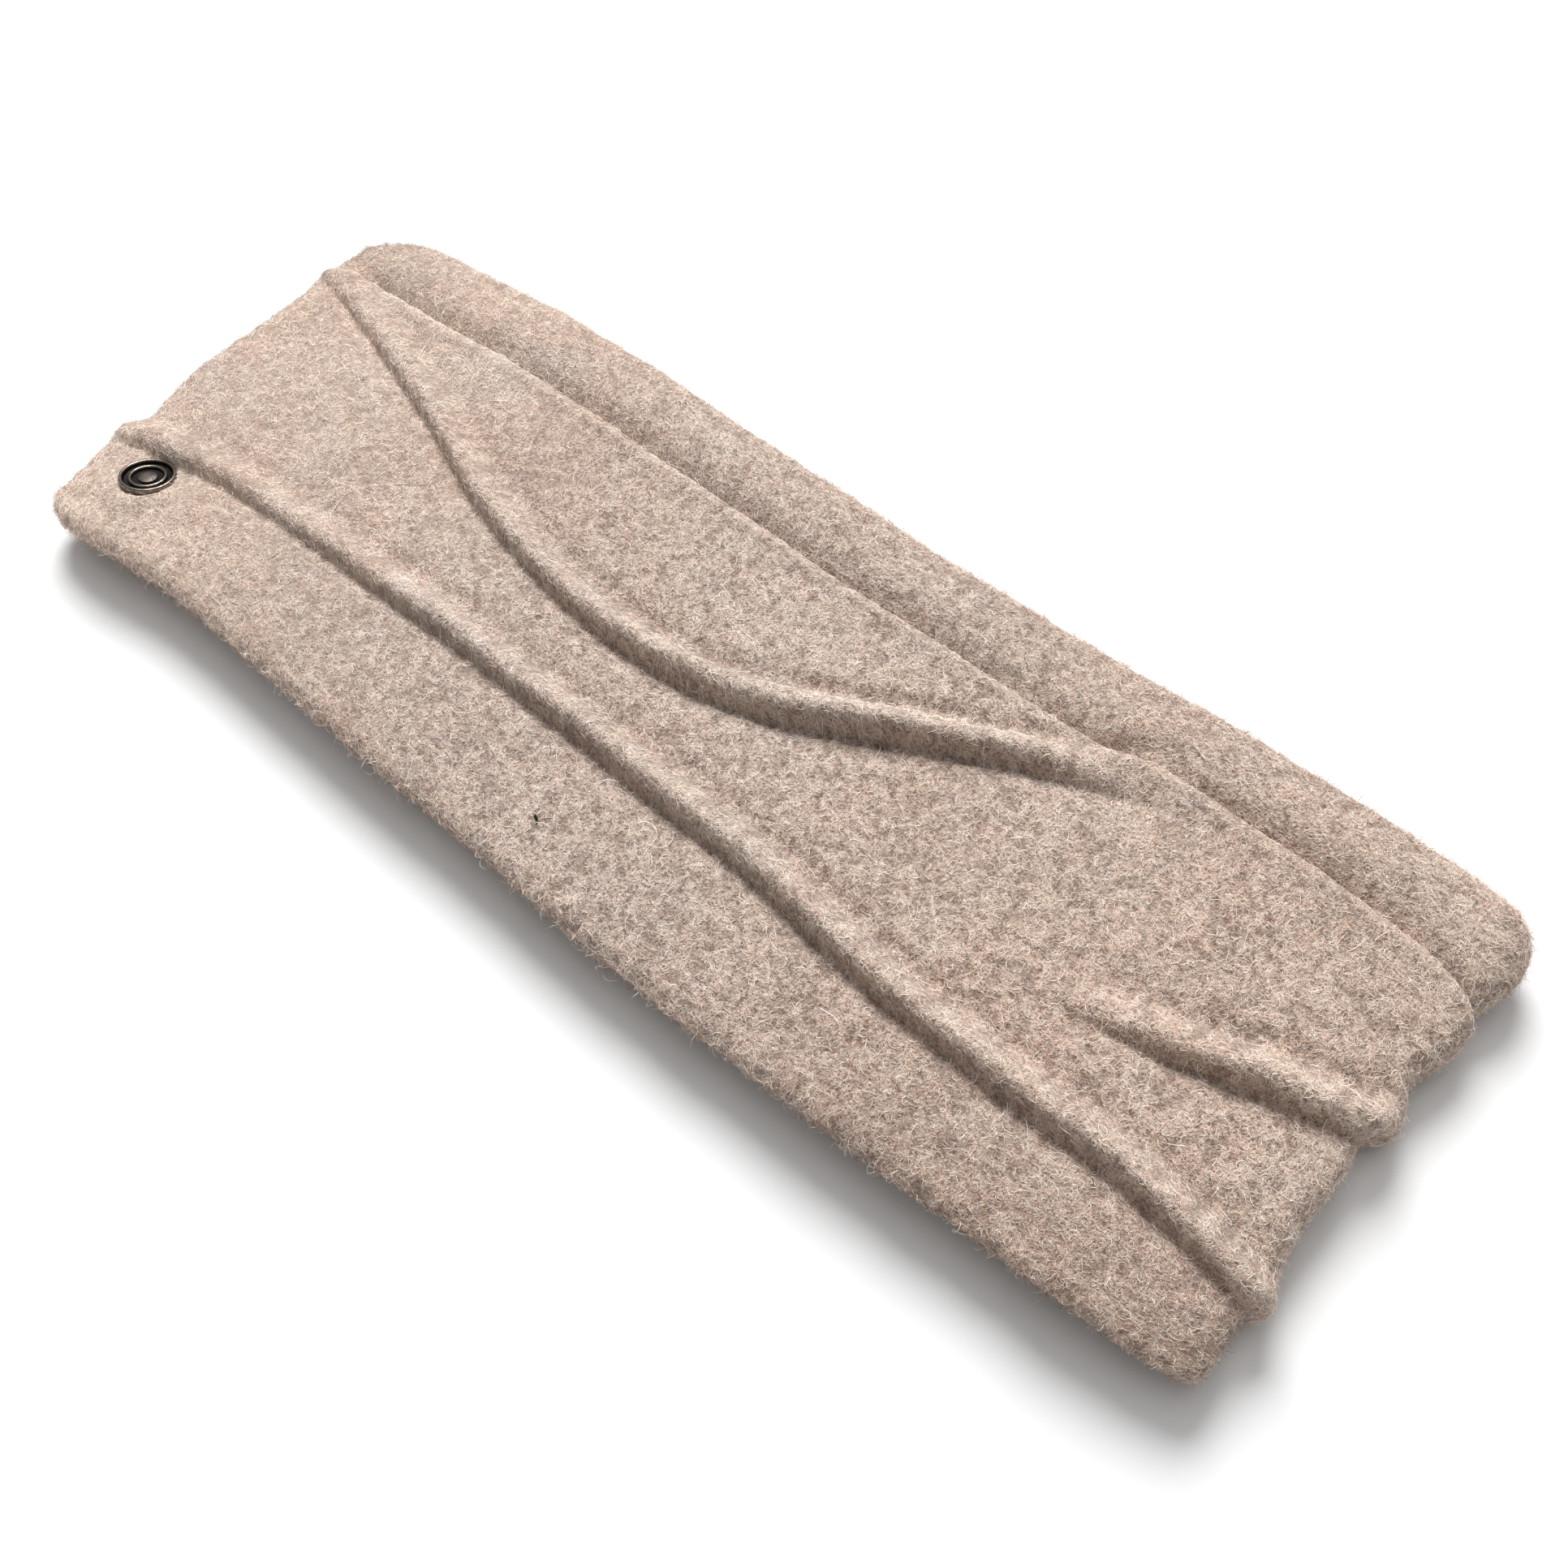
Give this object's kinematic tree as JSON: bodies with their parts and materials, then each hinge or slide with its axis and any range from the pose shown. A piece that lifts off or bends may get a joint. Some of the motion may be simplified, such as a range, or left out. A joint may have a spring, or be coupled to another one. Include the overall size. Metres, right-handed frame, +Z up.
{
  "type": "wool headband",
  "caption": "Wide lined wool headband lying folded flat, with a seamed upper strip, raised sewn tucks and a round metal badge; opens into a ring to be worn.",
  "frame": {"origin": "middle of the underside of the flat-lying band", "axes": "+X along the length of the folded band, away from the badge; +Y over its width, towards the upper strip; +Z up, out of the front layer"},
  "size_m": [0.251, 0.0916, 0.0177],
  "materials": {
    "wool": "felted wool, heathered beige and rosy taupe",
    "wool_strip": "felted wool, heathered beige and rosy taupe",
    "lining": "soft brushed lining",
    "dark_metal": "darkened antique metal",
    "metal": "antique gunmetal"
  },
  "bodies": {
    "rear_middle_left": {"wool_panel_rear_middle_left": "wool", "upper_strip_rear_middle_left": "wool_strip", "lining_rear_middle_left": "lining"},
    "rear_left": {"wool_panel_rear_left": "wool", "upper_strip_rear_left": "wool_strip", "lining_rear_left": "lining"},
    "front_left": {"wool_panel_front_left": "wool", "upper_strip_front_left": "wool_strip", "lining_front_left": "lining", "tuck_a_front_left": "wool", "tuck_b_front_left": "wool", "badge_cup": "dark_metal", "badge_centre_rivet": "metal", "badge_ring": "metal", "badge_washer": "metal"},
    "front_middle": {"wool_panel_front_middle": "wool", "upper_strip_front_middle": "wool_strip", "lining_front_middle": "lining", "tuck_a_front_middle": "wool", "tuck_b_front_middle": "wool"},
    "front_right": {"wool_panel_front_right": "wool", "upper_strip_front_right": "wool_strip", "lining_front_right": "lining", "tuck_a_front_right": "wool", "tuck_b_front_right": "wool", "tuck_c_front_right": "wool"},
    "rear_right": {"wool_panel_rear_right": "wool", "upper_strip_rear_right": "wool_strip", "lining_rear_right": "lining"},
    "rear_middle_right": {"wool_panel_rear_middle_right": "wool", "upper_strip_rear_middle_right": "wool_strip", "lining_rear_middle_right": "lining"}
  },
  "joints": [
    {"name": "left_fold_opening", "type": "hinge", "parent": "rear_left", "child": "front_left", "pos_m": [-0.125, 0, 0.007], "axis": [0, -1, 0], "range_deg": [0, 120]},
    {"name": "rear_left_bend", "type": "hinge", "parent": "rear_middle_left", "child": "rear_left", "pos_m": [-0.04167, 0, 0.0043], "axis": [0, 1, 0], "range_deg": [0, 60]},
    {"name": "front_left_bend", "type": "hinge", "parent": "front_left", "child": "front_middle", "pos_m": [-0.04167, 0, 0.0097], "axis": [0, 1, 0], "range_deg": [0, 60]},
    {"name": "front_right_bend", "type": "hinge", "parent": "front_middle", "child": "front_right", "pos_m": [0.04167, 0, 0.0097], "axis": [0, 1, 0], "range_deg": [0, 60]},
    {"name": "right_fold_opening", "type": "hinge", "parent": "front_right", "child": "rear_right", "pos_m": [0.125, 0, 0.007], "axis": [0, -1, 0], "range_deg": [0, 120]},
    {"name": "rear_right_bend", "type": "hinge", "parent": "rear_right", "child": "rear_middle_right", "pos_m": [0.04167, 0, 0.0043], "axis": [0, 1, 0], "range_deg": [0, 60]}
  ],
  "couplings": [
    {"joint": "rear_left_bend", "follows": "left_fold_opening", "ratio": 0.5},
    {"joint": "front_left_bend", "follows": "left_fold_opening", "ratio": 0.5},
    {"joint": "front_right_bend", "follows": "left_fold_opening", "ratio": 0.5},
    {"joint": "right_fold_opening", "follows": "left_fold_opening", "ratio": 1},
    {"joint": "rear_right_bend", "follows": "left_fold_opening", "ratio": 0.5}
  ]
}
